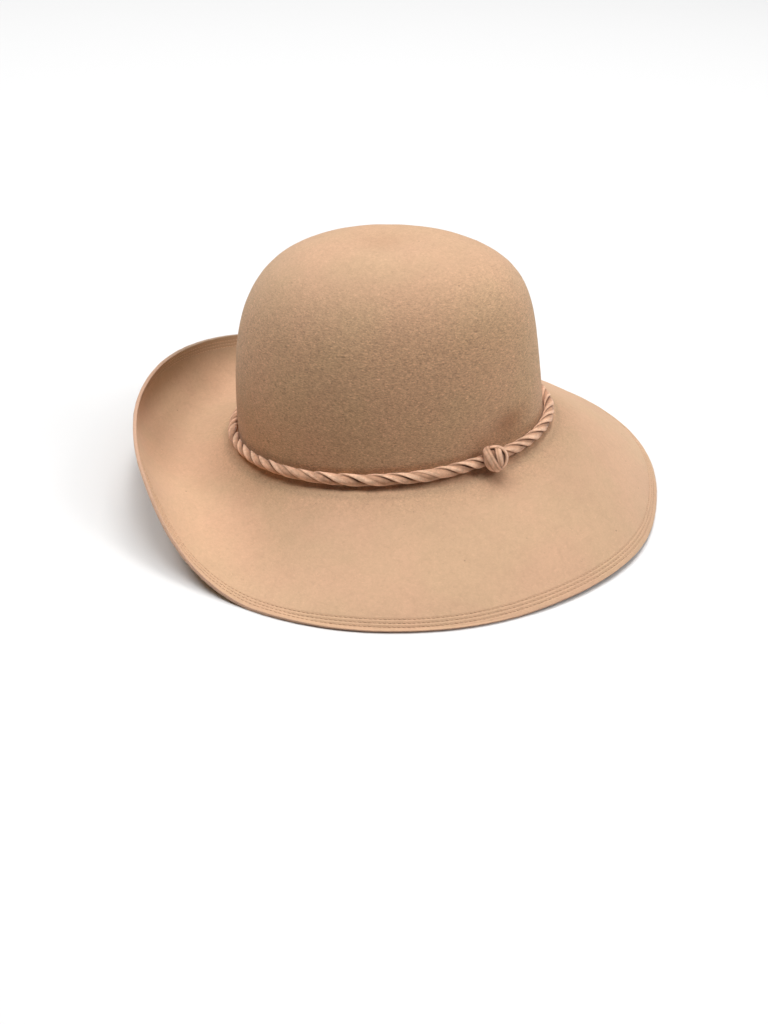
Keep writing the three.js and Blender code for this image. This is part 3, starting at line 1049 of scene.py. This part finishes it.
def tinted(tree, colour, tints, amount=1.0):
    """Multiplies a colour by each of some strengths or colours."""
    for tint in tints:
        mix = tree.nodes.new("ShaderNodeMix")
        mix.data_type = "RGBA"
        mix.blend_type = "MULTIPLY"
        feed(tree, amount, mix.inputs["Factor"])
        feed(tree, colour, mix.inputs["A"])
        feed(tree, tint, mix.inputs["B"])
        colour = mix.outputs["Result"]
    return colour


def graded(tree, value, low, high):
    """Colour that goes from low to high as a value goes from 0 to 1."""
    mix = tree.nodes.new("ShaderNodeMix")
    mix.data_type = "RGBA"
    feed(tree, value, mix.inputs["Factor"])
    feed(tree, low, mix.inputs["A"])
    feed(tree, high, mix.inputs["B"])
    return mix.outputs["Result"]


def bumped(tree, height, distance, strength, before=None):
    """Relief in a surface, on top of the relief from before."""
    bump = tree.nodes.new("ShaderNodeBump")
    feed(tree, distance, bump.inputs["Distance"])
    feed(tree, strength, bump.inputs["Strength"])
    feed(tree, height, bump.inputs["Height"])
    if before is not None:
        feed(tree, before, bump.inputs["Normal"])
    return bump.outputs["Normal"]


def felt_tints(tree, flat, rough):
    """Faint mottling, matted fibres and lint, painted light and shade by the nap, and painted shade in the
    dent, the dimple, the rolled back and beside the band.
    """
    mottle = remapped(tree, noise(tree, flat, 16, 3), 0.3, 0.7, 0.96, 1.04)
    matted = remapped(tree, noise(tree, flat, 170, 4, 0.6, 1.2), 0.3, 0.7, 0.955, 1.045)
    lint = noise(tree, flat, 290, 2, 0.5, 2.5)
    pale_lint = remapped(tree, lint, 0.7, 0.76, 1.0, 1.13)
    dark_lint = remapped(tree, lint, 0.24, 0.29, 0.84, 1.0)
    patches = remapped(tree, noise(tree, flat, 24, 2), 0.38, 0.62, 0, 1)
    patched = graded(tree, patches, OLIVE_TINT, PINK_TINT)
    # Painted light and shade by the nap: darker and redder down the crown's side, lighter and cooler on the
    # top and the brim
    painted_shading = graded(tree, rough, SMOOTH_NAP_PAINTED_LIGHT, ROUGH_NAP_PAINTED_SHADE)
    # Painted shade in the dent beside the knot and in the dimple
    dent_painted_shade = graded(tree, layer_strength(tree, "dent"), NO_TINT, DENT_AND_DIMPLE_SHADE_TINT)
    # Painted shade near the rolled back's edge and painted shadow beside the band
    darkened = graded(tree, layer_strength(tree, "painted_shade"), NO_TINT, ROLL_AND_BAND_SHADE_TINT)
    return [mottle, matted, pale_lint, dark_lint, patched, painted_shading, dent_painted_shade, darkened]


def felt_specks(tree, flat):
    """Small dark specks, far apart."""
    cells = tree.nodes.new("ShaderNodeTexVoronoi")
    cells.inputs["Scale"].default_value = 62
    tree.links.new(flat, cells.inputs["Vector"])
    return remapped(tree, cells.outputs["Distance"], 0.015, 0.045, 0.62, 1.0)


def felt_material():
    """Blocked felt: matted short fibres, rougher down the crown's side, with grain and flecks there; its
    colour also holds painted light and shade.
    """
    material, tree, shader = node_material("camel_felt", FELT_COLOUR, FELT_FINISH)
    flat = object_coordinates(tree)
    brushed = object_coordinates(tree, (0.8, 0.8, 1.9))
    # The nap sets grain and bump, and also painted shade
    rough = layer_strength(tree, "nap")
    grain = noise(tree, brushed, 640, 3, 0.62, 0.5)
    fleck = noise(tree, brushed, 1300, 2, 0.6, 1.0)
    rough_tints = [
        remapped(tree, grain, 0.3, 0.7, 0.74, 1.27),
        remapped(tree, fleck, 0.3, 0.72, 0.8, 1.24),
        remapped(tree, noise(tree, brushed, 760, 1, 0.5, 0.6), 0.6, 0.69, 1.0, 1.3),
        remapped(tree, noise(tree, brushed, 690, 1, 0.5, 0.6), 0.31, 0.4, 0.7, 1.0),
    ]
    colour = tinted(tree, FELT_COLOUR, felt_tints(tree, flat, rough))
    colour = tinted(tree, colour, rough_tints, rough)
    colour = tinted(tree, colour, [felt_specks(tree, flat)])
    tree.links.new(colour, shader.inputs["Base Color"])
    normal = bumped(tree, noise(tree, flat, 120, 3), 0.0006, 0.3)
    normal = bumped(tree, grain, 0.0006, remapped(tree, rough, 0, 1, 0.12, 0.75), normal)
    normal = bumped(tree, fleck, 0.00022, remapped(tree, rough, 0, 1, 0.15, 0.7), normal)
    tree.links.new(normal, shader.inputs["Normal"])
    return material


def cut_felt_material():
    """The brim's raw cut: paler, with matted layers showing, and painted shade where the back is rolled up.
    """
    pale = tuple(value * share for value, share in zip(FELT_COLOUR, CUT_SHARES))
    material, tree, shader = node_material("cut_felt_edge", pale, CUT_FINISH)
    layers = noise(tree, object_coordinates(tree), 1400, 4, 0.7, 1.5)
    # Painted shade on the cut edge where the back is rolled up
    darkened = graded(tree, layer_strength(tree, "painted_shade"), NO_TINT, ROLL_AND_BAND_SHADE_TINT)
    colour = tinted(tree, pale, [remapped(tree, layers, 0.3, 0.7, 0.82, 1.12), darkened])
    tree.links.new(colour, shader.inputs["Base Color"])
    tree.links.new(bumped(tree, layers, 0.0005, 0.8), shader.inputs["Normal"])
    return material


def thread_material():
    """Thread of the felt's own colour, with a faint ply."""
    material, tree, shader = node_material("stitch_thread", FELT_COLOUR, THREAD_FINISH)
    ply = noise(tree, object_coordinates(tree), 2600, 2)
    colour = tinted(tree, FELT_COLOUR, [remapped(tree, ply, 0.3, 0.7, 0.85, 1.1)])
    tree.links.new(colour, shader.inputs["Base Color"])
    tree.links.new(bumped(tree, ply, 0.0001, 0.6), shader.inputs["Normal"])
    return material


def band_material():
    """Soft suede-like strip: fine pores, paler along its raised folds as painted highlight and darker in
    the creases as painted shade, partly its own colour.
    """
    material, tree, shader = node_material("suede_strip", BAND_COLOUR, BAND_FINISH)
    flat = object_coordinates(tree)
    # Ramp from painted shade in the creases to a painted highlight on the ridges, partly the strip's own
    # colour
    painted_shading = tree.nodes.new("ShaderNodeValToRGB")
    painted_shading.color_ramp.elements[0].color = (*CREASE_COLOUR, 1)
    painted_shading.color_ramp.elements[1].color = (*RIDGE_COLOUR, 1)
    painted_shading.color_ramp.elements.new(FLAT_SHADE).color = (*BAND_COLOUR, 1)
    tree.links.new(layer_strength(tree, "fold"), painted_shading.inputs["Fac"])
    pores = noise(tree, flat, 1800, 3, 0.65)
    tints = [
        remapped(tree, noise(tree, flat, 90, 3), 0.3, 0.7, 0.9, 1.1),
        remapped(tree, noise(tree, flat, 330, 3, 0.6), 0.35, 0.65, 0.85, 1.13),
        remapped(tree, pores, 0.3, 0.7, 0.9, 1.08),
    ]
    tree.links.new(tinted(tree, painted_shading.outputs["Color"], tints), shader.inputs["Base Color"])
    normal = bumped(tree, noise(tree, flat, 420, 3, 0.55, 0.8), 0.0005, 0.4)
    normal = bumped(tree, pores, 0.00018, 0.5, normal)
    tree.links.new(normal, shader.inputs["Normal"])
    return material


def make_hat():
    felt = felt_material()
    thread = thread_material()
    band = band_material()
    make_felt(felt, cut_felt_material())
    make_stitches("edge_stitches_top", TOP_SKIN, 1, thread)
    make_stitches("edge_stitches_under", LOWER_SKIN, -1, thread)
    make_band(band)
    make_knot(band)


# Floor, light and camera

FLOOR_REACH = 60000.0


def make_floor():
    reach = FLOOR_REACH
    corners = [(-reach, -reach, 0), (reach, -reach, 0), (reach, reach, 0), (-reach, reach, 0)]
    material = node_material("pale_floor", FLOOR_COLOUR, FLOOR_FINISH)[0]
    mesh_object("floor", corners, [(0, 1, 2, 3)], [material])


def area_light(name, place, width, power):
    light = bpy.data.lights.new(name, "AREA")
    light.shape = "DISK"
    light.size = width
    light.energy = power
    lamp = bpy.data.objects.new(name, light)
    lamp.location = place
    lamp.rotation_mode = "QUATERNION"
    lamp.rotation_quaternion = (Vector(LIGHT_AIM) - Vector(place)).to_track_quat("-Z", "Y")
    bpy.context.scene.collection.objects.link(lamp)


# Soft round studio lights, each with its turn from the front round by the wearer's left and its height
# angle, in degrees, its width in metres and its power in watts
STUDIO_LIGHTS = {
    "overhead": (0, 90, 1.8, 75),
    "over_back": (180, 62, 1.8, 90),
    "over_left": (90, 62, 1.8, 66),
    "over_front": (0, 62, 1.8, 32),
    "low_front": (0, 42, 1.5, 56),
}
LIGHT_DISTANCE = 4.5
LIGHT_AIM = (0, 0, 0.05)
WORLD_STRENGTH = 0.02


def light_scene():
    for name, (turn, height, width, power) in STUDIO_LIGHTS.items():
        level = LIGHT_DISTANCE * math.cos(math.radians(height))
        left = level * math.sin(math.radians(turn))
        back = -level * math.cos(math.radians(turn))
        place = (left, back, LIGHT_DISTANCE * math.sin(math.radians(height)))
        area_light(name, place, width, power)
    world = bpy.data.worlds.new("studio")
    world.use_nodes = True
    world.node_tree.nodes["Background"].inputs["Strength"].default_value = WORLD_STRENGTH
    bpy.context.scene.world = world
    bpy.context.scene.view_settings.view_transform = "Standard"


# Camera, at the photograph's viewing angle; it aims at a point given from the middle of the crown's base
CAMERA_AZIMUTH = math.radians(-77.385)
CAMERA_ELEVATION = math.radians(32.407)
CAMERA_ROLL = math.radians(2.508)
CAMERA_DISTANCE = 820.0
CAMERA_AIM = (-52.03, -11.19, -40.22)
CAMERA_LENS = 45.703
CAMERA_SENSOR = 36


def make_camera():
    data = bpy.data.cameras.new("camera")
    data.sensor_width = CAMERA_SENSOR
    data.lens = CAMERA_LENS
    camera = bpy.data.objects.new("camera", data)
    level = math.cos(CAMERA_ELEVATION)
    back = Vector(
        (math.sin(CAMERA_AZIMUTH) * level, -math.cos(CAMERA_AZIMUTH) * level, math.sin(CAMERA_ELEVATION))
    )
    camera.location = (Vector(CAMERA_AIM) + Vector(OFFSET) + back * CAMERA_DISTANCE) * MM
    camera.rotation_mode = "QUATERNION"
    facing = (-back).to_track_quat("-Z", "Y")
    camera.rotation_quaternion = facing @ Matrix.Rotation(CAMERA_ROLL, 3, "Z").to_quaternion()
    bpy.context.scene.collection.objects.link(camera)
    bpy.context.scene.camera = camera


make_hat()
make_floor()
light_scene()
make_camera()
